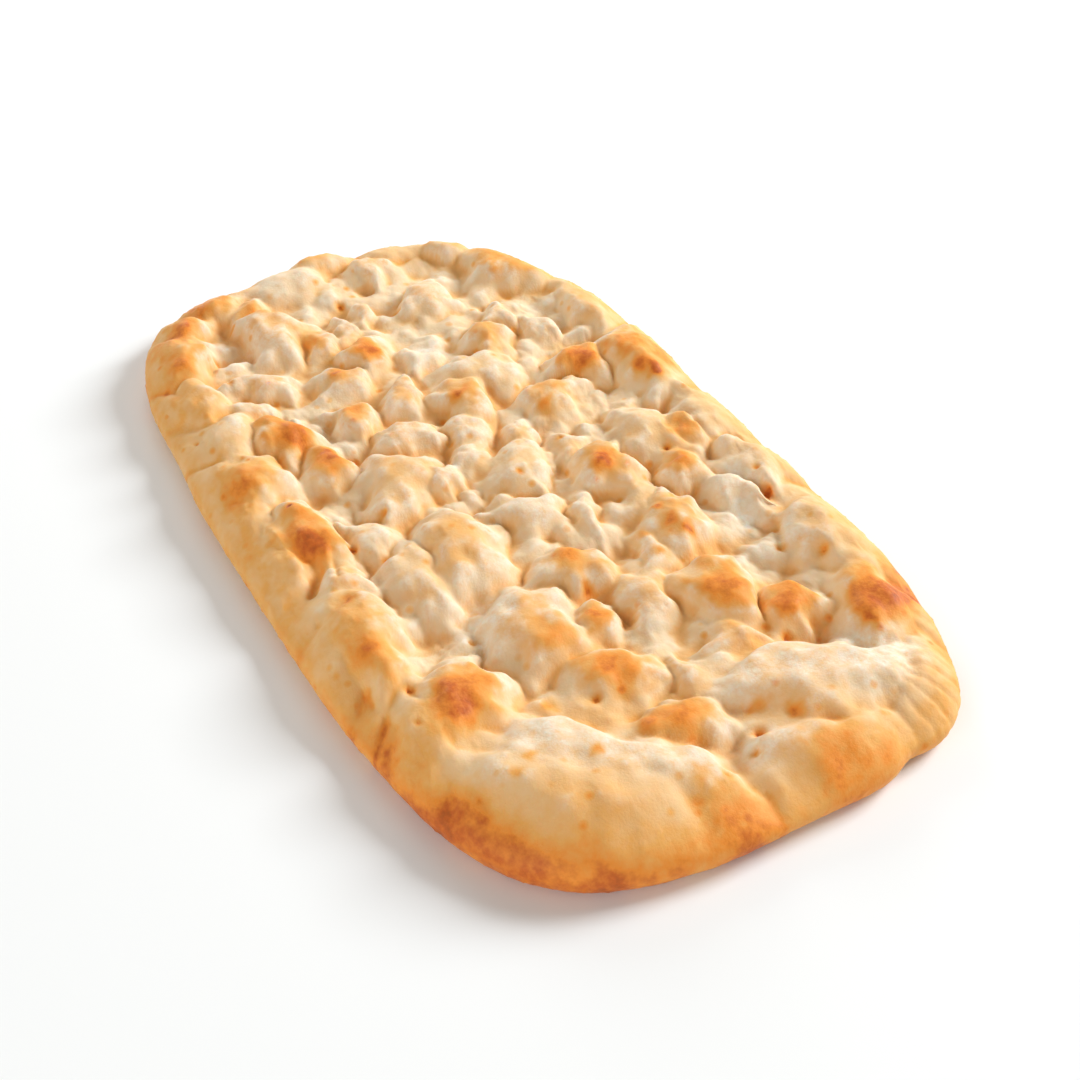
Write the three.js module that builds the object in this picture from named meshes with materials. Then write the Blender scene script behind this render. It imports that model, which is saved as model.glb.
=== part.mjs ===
// Pinsa base: a long oval flatbread, pressed with the fingertips before baking, so that puffed
// mounds stand between its dimples, with a fuller crust round the edge and a flat underside.
// Millimetres, +Z up. The origin is the middle of the underside. +X runs along the bread towards
// its full, puffed end, and +Y across it.

import * as THREE from 'three';

// Outline, seen from above
const LENGTH = 300;
const WIDTH = 166;
const CORNER_POWER = 3.85; // 2 would be an ellipse, more is squarer

// Slow bulges and dents of the outline: direction and spread in degrees, push outwards
const OUTLINE_BULGES = [
  { direction: 178, spread: 9, push: 4.5 },
  { direction: -168, spread: 4, push: -1.5 },
  { direction: -153, spread: 6, push: 1 },
  { direction: 150, spread: 7, push: -2 },
  { direction: 128, spread: 14, push: 2.2 },
  { direction: -130, spread: 10, push: -2 },
  { direction: -42, spread: 7, push: -1 },
  { direction: -6, spread: 6, push: 1 },
  { direction: 15.5, spread: 2.5, push: -2.6 },
  { direction: 24, spread: 5, push: 1.2 },
];

// Section through the edge
const DIMPLE_FLOOR = 7; // dough left under a deep dimple
const RIM_LIFT = 3; // extra height of the crust along the edge
const RIM_INSET = 14; // from the outline to the crest of that lift
const RIM_SPREAD = 12;
const RIM_GRIP = 8; // outermost dough, which follows the relief just inside it
const EDGE_ROUNDING = 24; // how far in from the outline the top rounds over
const WIDEST_HEIGHT = 6; // height of the widest line of the edge
const UNDERSIDE_INSET = 5; // from the widest line in to the flat underside

// Mounds
const MOUND_REACH = 1.22; // from a mound's top to its foot, in its half sizes
const CREASE_SOFTNESS = 1.5; // height over which two mounds run together
const THREE_LOBES = [0.1, 2.4]; // departure of the foot from an ellipse, turn from mound to mound
const FIVE_LOBES = [0.06, 1.7];
const MOUND_POWER = 2.6; // 2 would be a parabola, more is flatter on top

// Low lumps in the valleys, spread evenly over an oval field
const LUMP_COUNT = 150;
const LUMP_FIELD_X = 138;
const LUMP_FIELD_Y = 72;
const LUMP_RADIUS = [5.4, 8.4]; // smallest, largest
const LUMP_RISE = [2.6, 4.8];
const RADIUS_STRIDE = 0.618; // share of that range from each lump to the next, wrapped round
const RISE_STRIDE = 0.37;

// Unevenness of the dough: wavelength and depth of each swell
const BEND_LONG = [32, 1.5]; // sideways, so that no mound is a clean oval
const BEND_SHORT = [14, 0.9];
const VALLEY_SWELL = [17, 1.3];
const VALLEY_LEVEL = 1.6;
const SKIN_SWELL = [10, 0.35];

// Plane waves that make up a swell, slower and faster than its wavelength says
const SWELL_WAVES = 5;
const SLOWEST_WAVE = 0.78;
const WAVE_STEP = 0.11;
const WAVE_PHASE = 1.9; // from each wave to the next
const SEED_HEADING = 1.31; // from one swell to another
const SEED_PHASE = 5.1;

// Mesh: the top is rings round the middle, each with one more point in every sector
const SECTORS = 6;
const TOP_RINGS = 38;
const EDGE_RINGS = 5;
const OUTLINE_SAMPLES = 2000;
const GOLDEN_ANGLE = Math.PI * (3 - Math.sqrt(5));

// Each mound: x, y, half length, half width, turn in degrees, rise above the dimple floor
const FAR_RIM = [
  [-150, 2, 14, 11, 90, 11],
  [-142, -14, 16, 13, 60, 8],
  [-145, 30, 13, 9, 75, 8],
  [-137, 47, 14, 10, 55, 8.5],
  [-113, 60, 18, 13, 30, 8.5],
  [-144, -30, 12, 9, 75, 7.5],
];

const LEFT_RIM = [
  [-137, -43, 12, 9, -60, 8],
  [-127, -56, 11, 8, -45, 9],
  [-109, -64, 20, 11, -15, 10],
  [-80, -68, 14, 10, -5, 9],
  [-57, -66, 15, 12, -10, 9.5],
  [-33, -68, 15, 12, 10, 10],
  [0, -64, 17, 12, 5, 10],
  [5, -75, 22, 7, 0, 7.5],
  [23, -61, 10, 8, 0, 9],
  [50, -67, 27, 12, 0, 10.5],
  [81, -53, 16, 13, -10, 11.5],
  [88, -68, 14, 11, -40, 9],
  [-17, -75, 16, 7, 0, 7.5],
];

const NEAR_RIM = [
  [121, -44, 36, 26, 47, 11.5],
  [143, -12, 15, 11, 50, 6],
  [127, 20, 20, 15, 64, 5.5],
  [116, 28, 30, 15, 64, 11],
  [130, 57, 18, 11, -50, 8.5],
];

const RIGHT_RIM = [
  [98, 63, 17, 12, -10, 8.5],
  [68, 70, 24, 12, 0, 10],
  [30, 71, 15, 9, 0, 9],
  [0, 72, 17, 9, 0, 9],
  [-36, 71, 20, 14, -5, 11],
  [-76, 73, 24, 10, 0, 8.5],
];

const FAR_FIELD = [
  [-126, -33, 9, 7, -30, 7],
  [-109, -30, 16, 12, -15, 11],
  [-98, -18, 10, 6, 0, 7.5],
  [-83, -7, 12, 9, -25, 8.5],
  [-73, -22, 10, 7.5, -15, 7.5],
  [-55, -7, 12, 8, -20, 8],
  [-50, -26, 11, 8, -15, 8],
  [-82, -44, 13, 8, 60, 7.5],
  [-70, -55, 9, 6, 60, 7],
  [-49, -51, 12, 10, -15, 11],
  [-32, -43, 12, 9, -10, 9],
  [-33, -16, 12, 6, 80, 8.5],
  [-107, 26, 13, 9, -40, 9],
  [-85, 44, 9, 7, 0, 7],
  [-73, 33, 12, 9, -20, 9],
  [-72, 51, 10, 6, 0, 7],
  [-133, 17, 8, 7, -40, 7],
  [-108, 2, 9, 5, -10, 6.5],
  [-104, -8, 10, 5, -10, 6.5],
  [-73, 8, 9, 5, -30, 6],
  [-56, 22, 14, 10, 58, 8.5],
];

const MIDDLE_FIELD = [
  [-46, 9, 12, 9, -30, 9],
  [-29, 3, 10, 7, -20, 7.5],
  [-15, -3, 10, 7, -30, 7.5],
  [-13, -28, 16, 13, -40, 10.5],
  [-8, -15, 8, 8, 0, 9],
  [-3, 7, 14, 10, -25, 9],
  [-19, 16, 9, 5, -20, 7],
  [-31, 35, 12, 9, -60, 9],
  [-45, 52, 12, 10, -20, 9.5],
  [-7, 27, 9, 7, 0, 6],
  [10, 30, 14, 10, -20, 10.5],
  [26, 31, 9, 7, 0, 6.5],
  [43, 34, 14, 9, -15, 10.5],
  [1, 50, 18, 11, 10, 9.5],
  [7, 60, 9, 6, 30, 9],
  [21, 50, 10, 9, -20, 9],
  [41, 58, 16, 7, 15, 8],
  [51, 22, 14, 6, -25, 7],
  [28, 14, 14, 5, -15, 7],
  [47, -2, 13, 10, 55, 8.5],
  [25, -27, 19, 13, -10, 11.5],
  [31, -43, 19, 9, -5, 9],
  [7, -46, 11, 9, 0, 8],
  [18, -1, 14, 10, 60, 8.5],
];

const NEAR_FIELD = [
  [74, 28, 15, 12, -10, 10.5],
  [89, 43, 10, 9, -20, 8.5],
  [92, 21, 10, 8, 0, 7.5],
  [67, 10, 13, 8, -15, 8],
  [69, -7, 9, 6, -20, 7.5],
  [90, -14, 15, 12, 65, 8],
  [99, 3, 10, 5, -25, 7],
  [114, -8, 14, 10, 75, 9.5],
  [99, -28, 14, 10, 60, 4.5],
  [64, -24, 17, 14, -30, 10.5],
  [140, 20, 25, 12, 72, 8.5],
  [114, -36, 36, 12, 47, 12.2],
];

// Folds where the dough was pushed together across the rim: both ends, half width, depth
const FOLDS = [
  [62, -60, 85, -80, 3.2, 2.6],
  [97, -54, 108, -78, 6.5, 2.4],
  [34, -68, 37, -82, 3, 1.4],
  [17, -60, 22, -78, 3.2, 1.8],
  [-6, -70, 12, -68, 4.5, 2],
  [-44, -60, -51, -83, 3.5, 1.4],
  [-68, -64, -69, -80, 3.5, 1.5],
  [-104, -51, -131, -68, 3, 2.2],
  [-122, -44, -140, -57, 3, 2.2],
  [53, 56, 51, 72, 3, 2.2],
  [126, -3, 152, 4, 5.5, 2.8],
];

const MOUNDS = [
  ...FAR_RIM,
  ...LEFT_RIM,
  ...NEAR_RIM,
  ...RIGHT_RIM,
  ...FAR_FIELD,
  ...MIDDLE_FIELD,
  ...NEAR_FIELD,
];

// Distance from the middle to the outline in one direction
function outlineRadius(angle) {
  const alongX = Math.abs((2 * Math.cos(angle)) / LENGTH);
  const alongY = Math.abs((2 * Math.sin(angle)) / WIDTH);
  let radius = (alongX ** CORNER_POWER + alongY ** CORNER_POWER) ** (-1 / CORNER_POWER);
  for (const { direction, spread, push } of OUTLINE_BULGES) {
    const degrees = THREE.MathUtils.radToDeg(angle) - direction;
    const apart = THREE.MathUtils.euclideanModulo(degrees + 180, 360) - 180;
    radius += push * Math.exp(-((apart / spread) ** 2));
  }
  return radius;
}

// The outline as a closed path that can be walked at an even pace
function traceOutline() {
  const points = [];
  for (let i = 0; i <= OUTLINE_SAMPLES; i += 1) {
    const angle = (i / OUTLINE_SAMPLES) * 2 * Math.PI;
    const radius = outlineRadius(angle);
    points.push(new THREE.Vector2(radius * Math.cos(angle), radius * Math.sin(angle)));
  }
  return new THREE.Shape(points);
}

// A smooth uneven field of about unit height, from plane waves in five directions
function swell(x, y, wavelength, seed) {
  let height = 0;
  for (let j = 0; j < SWELL_WAVES; j += 1) {
    const heading = seed * SEED_HEADING + j * GOLDEN_ANGLE;
    const frequency = ((2 * Math.PI) / wavelength) * (SLOWEST_WAVE + WAVE_STEP * j);
    const along = x * Math.cos(heading) + y * Math.sin(heading);
    height += Math.sin(along * frequency + seed * SEED_PHASE + j * WAVE_PHASE);
  }
  return height / Math.sqrt(SWELL_WAVES);
}

// A swell of a given wavelength and depth
function swellBy([wavelength, depth], x, y, seed) {
  return depth * swell(x, y, wavelength, seed);
}

// The larger of two heights, run together where they are nearly equal
function smoothMax(a, b) {
  const overlap = Math.max(CREASE_SOFTNESS - Math.abs(a - b), 0);
  return Math.max(a, b) + overlap ** 2 / (4 * CREASE_SOFTNESS);
}

// Height of one mound, negative beyond its foot
function moundHeight(x, y, mound, index) {
  const [centreX, centreY, halfLength, halfWidth, turn, rise] = mound;
  const angle = THREE.MathUtils.degToRad(turn);
  const dx = x - centreX;
  const dy = y - centreY;
  const along = (dx * Math.cos(angle) + dy * Math.sin(angle)) / halfLength;
  const across = (dy * Math.cos(angle) - dx * Math.sin(angle)) / halfWidth;
  const bearing = Math.atan2(across, along);
  const three = THREE_LOBES[0] * Math.sin(3 * bearing + THREE_LOBES[1] * index);
  const five = FIVE_LOBES[0] * Math.sin(5 * bearing + FIVE_LOBES[1] * index);
  const distance = Math.hypot(along, across) * (1 + three + five);
  return rise * (1 - (distance / MOUND_REACH) ** MOUND_POWER);
}

// Height of one of the low lumps in the valleys
function lumpHeight(x, y, index) {
  const reach = Math.sqrt((index + 0.5) / LUMP_COUNT);
  const angle = index * GOLDEN_ANGLE;
  const dx = x - LUMP_FIELD_X * reach * Math.cos(angle);
  const dy = y - LUMP_FIELD_Y * reach * Math.sin(angle);
  const radius = THREE.MathUtils.lerp(...LUMP_RADIUS, (index * RADIUS_STRIDE) % 1);
  const rise = THREE.MathUtils.lerp(...LUMP_RISE, (index * RISE_STRIDE) % 1);
  return rise * (1 - (dx * dx + dy * dy) / radius ** 2);
}

// How far the folds draw the surface down
function foldDepth(x, y) {
  let depth = 0;
  for (const [startX, startY, endX, endY, halfWidth, deepest] of FOLDS) {
    const alongX = endX - startX;
    const alongY = endY - startY;
    const walked = (x - startX) * alongX + (y - startY) * alongY;
    const share = THREE.MathUtils.clamp(walked / (alongX ** 2 + alongY ** 2), 0, 1);
    const away = Math.hypot(x - startX - share * alongX, y - startY - share * alongY);
    depth += deepest * Math.exp(-((away / halfWidth) ** 2));
  }
  return depth;
}

// Height of the pressed and puffed surface above the dimple floor
function reliefHeight(x, y) {
  const bentX = x + swellBy(BEND_LONG, x, y, 1) + swellBy(BEND_SHORT, x, y, 2);
  const bentY = y + swellBy(BEND_LONG, x, y, 4) + swellBy(BEND_SHORT, x, y, 5);
  let height = VALLEY_LEVEL + swellBy(VALLEY_SWELL, x, y, 7);
  for (let i = 0; i < LUMP_COUNT; i += 1) {
    height = smoothMax(height, lumpHeight(bentX, bentY, i));
  }
  MOUNDS.forEach((mound, i) => {
    height = smoothMax(height, moundHeight(bentX, bentY, mound, i));
  });
  return height - foldDepth(bentX, bentY) + swellBy(SKIN_SWELL, x, y, 8);
}

// Height of the top where its relief is known, a given distance in from the outline
function topHeight(relief, inset) {
  const rim = RIM_LIFT * Math.exp(-(((inset - RIM_INSET) / RIM_SPREAD) ** 2));
  const full = DIMPLE_FLOOR + rim + relief;
  const inward = Math.min(inset / EDGE_ROUNDING, 1);
  const rounding = Math.sqrt(1 - (1 - inward) ** 2);
  return WIDEST_HEIGHT + (full - WIDEST_HEIGHT) * rounding;
}

// One ring of the top: the outline drawn in towards the middle to a share of its size
function topRing(outline, share, count) {
  const ring = [];
  for (let i = 0; i < count; i += 1) {
    const edge = outline.getPoint(i / count);
    const tangent = outline.getTangent(i / count);
    const tangentDistance = edge.x * tangent.y - edge.y * tangent.x;
    const gripped = Math.min(share, 1 - RIM_GRIP / tangentDistance);
    const relief = reliefHeight(gripped * edge.x, gripped * edge.y);
    const z = topHeight(relief, (1 - share) * tangentDistance);
    ring.push(new THREE.Vector3(share * edge.x, share * edge.y, z));
  }
  return ring;
}

// One ring of the rounded lower edge, from the widest line down to the underside
function edgeRing(widest, share) {
  const angle = (share * Math.PI) / 2;
  const inset = UNDERSIDE_INSET * (1 - Math.cos(angle));
  const z = WIDEST_HEIGHT * (1 - Math.sin(angle));
  return widest.map(({ x, y }) => {
    const scale = 1 - inset / Math.hypot(x, y);
    return new THREE.Vector3(x * scale, y * scale, z);
  });
}

// Triangles of the top, from each ring to the next one inside it
function topTriangles(starts) {
  const triangles = [];
  for (let ring = 1; ring <= TOP_RINGS; ring += 1) {
    const outer = (i) => starts[ring] + (i % (SECTORS * ring));
    const inner = (i) => starts[ring - 1] + (ring > 1 ? i % (SECTORS * (ring - 1)) : 0);
    for (let sector = 0; sector < SECTORS; sector += 1) {
      for (let step = 0; step < ring; step += 1) {
        const i = sector * ring + step;
        const j = sector * (ring - 1) + step;
        triangles.push(outer(i), outer(i + 1), inner(j));
        if (step < ring - 1) {
          triangles.push(outer(i + 1), inner(j + 1), inner(j));
        }
      }
    }
  }
  return triangles;
}

// Triangles of the lower edge and of the flat underside, a fan round its middle
function undersideTriangles(firstRing, count, middle) {
  const triangles = [];
  for (let i = 0; i < count; i += 1) {
    const next = (i + 1) % count;
    for (let ring = 0; ring < EDGE_RINGS; ring += 1) {
      const upper = firstRing + ring * count;
      const lower = upper + count;
      triangles.push(upper + i, lower + i, upper + next);
      triangles.push(upper + next, lower + i, lower + next);
    }
    const last = firstRing + EDGE_RINGS * count;
    triangles.push(last + i, middle, last + next);
  }
  return triangles;
}

// The whole bread as one closed skin, centred over the origin
function breadGeometry() {
  const outline = traceOutline();
  const vertices = [new THREE.Vector3(0, 0, topHeight(reliefHeight(0, 0), WIDTH / 2))];
  const starts = [0];
  for (let ring = 1; ring <= TOP_RINGS; ring += 1) {
    starts.push(vertices.length);
    vertices.push(...topRing(outline, ring / TOP_RINGS, SECTORS * ring));
  }
  const widest = vertices.slice(starts[TOP_RINGS]);
  for (let ring = 1; ring <= EDGE_RINGS; ring += 1) {
    vertices.push(...edgeRing(widest, ring / EDGE_RINGS));
  }
  vertices.push(new THREE.Vector3(0, 0, 0));

  const underside = undersideTriangles(starts[TOP_RINGS], widest.length, vertices.length - 1);
  const geometry = new THREE.BufferGeometry().setFromPoints(vertices);
  geometry.setIndex([...topTriangles(starts), ...underside]);
  geometry.computeBoundingBox();
  const middle = geometry.boundingBox.getCenter(new THREE.Vector3());
  geometry.translate(-middle.x, -middle.y, 0);
  geometry.computeVertexNormals();
  return geometry;
}

const crust = new THREE.MeshStandardMaterial({
  name: 'baked wheat crust',
  color: 0xe0b377,
  roughness: 0.75,
  metalness: 0,
});

const bread = new THREE.Mesh(breadGeometry(), crust);
bread.name = 'pinsa_base';

const pinsa = new THREE.Group();
pinsa.add(bread);

export default pinsa;
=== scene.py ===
"""Pinsa base for Blender 4.5: the baked crust of a long, dimpled flatbread, with its stage.

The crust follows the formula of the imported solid, on a finer skin that also holds the crumpled
dough, pits, blisters and wrinkles. Lengths in the tables and formulas are millimetres in the
bread's own frame: +X along the bread towards its full, puffed end, +Y across it, +Z up.
"""
import math

import bpy
import numpy as np
from bpy.props import FloatProperty, FloatVectorProperty, IntProperty, PointerProperty
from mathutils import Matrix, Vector


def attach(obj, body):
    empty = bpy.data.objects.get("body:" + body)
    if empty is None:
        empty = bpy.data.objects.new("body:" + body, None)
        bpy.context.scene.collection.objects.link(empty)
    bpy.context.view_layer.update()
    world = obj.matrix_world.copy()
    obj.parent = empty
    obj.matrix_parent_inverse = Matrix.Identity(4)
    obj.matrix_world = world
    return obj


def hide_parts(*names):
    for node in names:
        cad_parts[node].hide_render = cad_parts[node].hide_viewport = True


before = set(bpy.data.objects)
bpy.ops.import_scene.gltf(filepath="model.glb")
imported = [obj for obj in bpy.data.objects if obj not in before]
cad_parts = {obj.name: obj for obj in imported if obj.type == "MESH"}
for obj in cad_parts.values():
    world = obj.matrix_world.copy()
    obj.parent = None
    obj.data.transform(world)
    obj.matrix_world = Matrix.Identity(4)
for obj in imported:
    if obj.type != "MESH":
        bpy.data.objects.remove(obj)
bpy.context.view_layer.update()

bl_info = {
    "name": "Pinsa Base",
    "version": (1, 0, 0),
    "blender": (4, 5, 0),
    "location": "3D View > Sidebar > Pinsa",
    "description": "Makes the baked crust of a dimpled pinsa base and sets a plain stage for it",
    "category": "Object",
}

MM = 0.001
NODE = "pinsa_base"
BODY = "root"

# Outline, seen from above
LENGTH = 300.0
WIDTH = 166.0
CORNER_POWER = 3.85
OUTLINE_SAMPLES = 4000

# Slow bulges and dents of the outline: direction and spread in degrees, push outwards
OUTLINE_BULGES = (
    (178, 9, 4.5), (-168, 4, -1.5), (-153, 6, 1.0), (150, 7, -2.0), (128, 14, 2.2),
    (-130, 10, -2.0), (-42, 7, -1.0), (-6, 6, 1.0), (15.5, 2.5, -2.6), (24, 5, 1.2),
)

# Mounds: reach from top to foot in half sizes, flatness of the top, and the lobes and finer
# flutes of the foot, each as a count, a departure and a step from mound to mound
MOUND_REACH = 1.22
MOUND_POWER = 2.6
LOBES = ((3, 0.1, 2.4), (5, 0.06, 1.7))
FLUTES = ((7, 0.012, 1.1), (11, 0.004, 2.9))

# Low lumps in the valleys, spread evenly over an oval field
LUMP_COUNT = 150
LUMP_FIELD = (138.0, 72.0)
LUMP_RADIUS = (5.4, 8.4)
LUMP_RISE = (2.6, 4.8)
RADIUS_STRIDE = 0.618
RISE_STRIDE = 0.37

# Unevenness of the dough: wavelength and depth of each swell
BEND_LONG = (32.0, 1.5)
BEND_SHORT = (14.0, 0.9)
BEND_FINE = (7.0, 0.4)
VALLEY_SWELL = (17.0, 1.3)
VALLEY_LEVEL = 1.6
SKIN_SWELL = (10.0, 0.35)

# Plane waves of a swell: count, slowest frequency and steps, turn and phase for each seed
SWELL_WAVES = 5
SLOWEST_WAVE = 0.78
WAVE_STEP = 0.11
WAVE_PHASE = 1.9
SEED_HEADING = 1.31
SEED_PHASE = 5.1
GOLDEN_ANGLE = math.pi * (3 - math.sqrt(5))

# Gradient noise: cells before it repeats, and what brings it to about unit height
GRAIN_SIDE = 256
GRAIN_HEIGHT = 1.6

# Each mound: x, y, half length, half width, turn in degrees, rise, toasting of its top
FAR_RIM = (
    (-150, 2, 14, 11, 90, 11, 0.5), (-142, -14, 16, 13, 60, 8, 0.0),
    (-145, 30, 13, 9, 75, 8, 0.2), (-137, 47, 14, 10, 55, 8.5, 0.6),
    (-113, 60, 18, 13, 30, 8.5, 0.8), (-144, -30, 12, 9, 75, 7.5, 0.3),
)
LEFT_RIM = (
    (-137, -43, 12, 9, -60, 8, 0.7), (-127, -56, 11, 8, -45, 9, 0.8),
    (-109, -64, 20, 11, -15, 10, 0.7), (-80, -68, 14, 10, -5, 9, 0.5),
    (-57, -66, 15, 12, -10, 9.5, 0.2), (-33, -68, 15, 12, 10, 10, 0.6),
    (0, -64, 17, 12, 5, 10, 0.85), (5, -75, 22, 7, 0, 7.5, 0.4),
    (23, -61, 10, 8, 0, 9, 0.5), (50, -67, 27, 12, 0, 10.5, 0.55),
    (81, -53, 16, 13, -10, 11.5, 0.9), (88, -68, 14, 11, -40, 9, 0.4),
    (-17, -75, 16, 7, 0, 7.5, 0.4),
)
NEAR_RIM = (
    (121, -44, 36, 26, 47, 11.5, 0.05), (143, -12, 15, 11, 50, 6, 0.6),
    (127, 20, 20, 15, 64, 5.5, 0.3), (116, 28, 30, 15, 64, 11, 0.2),
    (130, 57, 18, 11, -50, 8.5, 0.3),
)
RIGHT_RIM = (
    (98, 63, 17, 12, -10, 8.5, 0.9), (68, 70, 24, 12, 0, 10, 0.35),
    (30, 71, 15, 9, 0, 9, 0.25), (0, 72, 17, 9, 0, 9, 0.2),
    (-36, 71, 20, 14, -5, 11, 0.9), (-76, 73, 24, 10, 0, 8.5, 0.4),
)
FAR_FIELD = (
    (-126, -33, 9, 7, -30, 7, 0.6), (-109, -30, 16, 12, -15, 11, 0.45),
    (-98, -18, 10, 6, 0, 7.5, 0.5), (-83, -7, 12, 9, -25, 8.5, 0.75),
    (-73, -22, 10, 7.5, -15, 7.5, 0.5), (-55, -7, 12, 8, -20, 8, 0.5),
    (-50, -26, 11, 8, -15, 8, 0.5), (-82, -44, 13, 8, 60, 7.5, 0.35),
    (-70, -55, 9, 6, 60, 7, 0.35), (-49, -51, 12, 10, -15, 11, 0.95),
    (-32, -43, 12, 9, -10, 9, 0.7), (-33, -16, 12, 6, 80, 8.5, 0.4),
    (-107, 26, 13, 9, -40, 9, 0.4), (-85, 44, 9, 7, 0, 7, 0.3),
    (-73, 33, 12, 9, -20, 9, 0.6), (-72, 51, 10, 6, 0, 7, 0.4),
    (-133, 17, 8, 7, -40, 7, 0.35), (-108, 2, 9, 5, -10, 6.5, 0.4),
    (-104, -8, 10, 5, -10, 6.5, 0.35), (-73, 8, 9, 5, -30, 6, 0.0),
    (-56, 22, 14, 10, 58, 8.5, 0.15),
)
MIDDLE_FIELD = (
    (-46, 9, 12, 9, -30, 9, 0.6), (-29, 3, 10, 7, -20, 7.5, 0.2),
    (-15, -3, 10, 7, -30, 7.5, 0.2), (-13, -28, 16, 13, -40, 10.5, 0.35),
    (-8, -15, 8, 8, 0, 9, 0.3), (-3, 7, 14, 10, -25, 9, 0.1),
    (-19, 16, 9, 5, -20, 7, 0.35), (-31, 35, 12, 9, -60, 9, 0.6),
    (-45, 52, 12, 10, -20, 9.5, 0.8), (-7, 27, 9, 7, 0, 6, 0.2),
    (10, 30, 14, 10, -20, 10.5, 0.6), (26, 31, 9, 7, 0, 6.5, 0.1),
    (43, 34, 14, 9, -15, 10.5, 0.6), (1, 50, 18, 11, 10, 9.5, 0.1),
    (7, 60, 9, 6, 30, 9, 0.6), (21, 50, 10, 9, -20, 9, 0.55),
    (41, 58, 16, 7, 15, 8, 0.0), (51, 22, 14, 6, -25, 7, 0.3),
    (28, 14, 14, 5, -15, 7, 0.1), (47, -2, 13, 10, 55, 8.5, 0.6),
    (25, -27, 19, 13, -10, 11.5, 0.4), (31, -43, 19, 9, -5, 9, 0.2),
    (7, -46, 11, 9, 0, 8, 0.0), (18, -1, 14, 10, 60, 8.5, 0.1),
)
NEAR_FIELD = (
    (74, 28, 15, 12, -10, 10.5, 0.8), (89, 43, 10, 9, -20, 8.5, 0.85),
    (92, 21, 10, 8, 0, 7.5, 0.5), (67, 10, 13, 8, -15, 8, 0.45),
    (69, -7, 9, 6, -20, 7.5, 0.65), (90, -14, 15, 12, 65, 8, 0.75),
    (99, 3, 10, 5, -25, 7, 0.35), (114, -8, 14, 10, 75, 9.5, 0.65),
    (99, -28, 14, 10, 60, 4.5, 0.3), (64, -24, 17, 14, -30, 10.5, 0.5),
    (140, 20, 25, 12, 72, 8.5, 0.4), (114, -36, 36, 12, 47, 12.2, 0.1),
)
MOUNDS = FAR_RIM + LEFT_RIM + NEAR_RIM + RIGHT_RIM + FAR_FIELD + MIDDLE_FIELD + NEAR_FIELD

# Folds pressed across the rim: both ends, half width, depth
FOLDS = (
    (62, -60, 85, -80, 3.2, 2.6), (97, -54, 108, -78, 6.5, 2.4), (34, -68, 37, -82, 3, 1.4),
    (17, -60, 22, -78, 3.2, 1.8), (-6, -70, 12, -68, 4.5, 2), (-44, -60, -51, -83, 3.5, 1.4),
    (-68, -64, -69, -80, 3.5, 1.5), (-104, -51, -131, -68, 3, 2.2),
    (-122, -44, -140, -57, 3, 2.2), (53, 56, 51, 72, 3, 2.2), (126, -3, 152, 4, 5.5, 2.8),
)

# Finer folds of the skin: a pocket with its raised lip, and cracks
FINE_FOLDS = (
    (45, 56, 50, 64, 4, 2.4), (46, 51, 55, 61, 1.8, -1.1), (55, 60, 64, 56, 0.8, 0.9),
    (104, 10, 97, 26, 2.5, 1.6), (-10, -73, 13, -72, 1.6, -0.9), (12, -60, 24, -64, 1.4, 1.2),
)

# Pits that go dark inside: x, y, radius, depth
PITS = (
    (125, 6, 2.0, 2.6), (131, 1, 1.2, 1.2), (136, -9.5, 1.4, 1.4), (72, -65, 1.7, 2.2),
    (59, -40, 1.4, 1.4), (90, -34.5, 2.4, 0.8), (95, -23, 1.3, 1.0),
    (97, 35.5, 1.6, 1.6), (66.5, 54, 1.6, 1.2), (76.5, 61.5, 1.4, 0.9), (12, 50, 1.4, 1.2),
    (-11, 25.5, 1.6, 1.0), (3, 4, 1.2, 0.8), (56, -3, 1.6, 1.0), (10, -53.5, 1.1, 1.2),
    (19, -47, 1.7, 1.2), (0, -39.5, 1.3, 1.0), (-11, -64, 0.9, 0.8), (-120, -41, 1.0, 0.9),
    (-105, -52, 1.0, 1.0), (-87, -54, 1.0, 0.8), (-63, -77, 1.0, 0.9), (-121, -1, 1.3, 1.6),
    (-107, 13, 2.2, 2.4), (44.5, 65, 1.5, 1.4), (36, 67, 1.2, 0.8), (87, -70, 1.0, 0.6),
)

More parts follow.
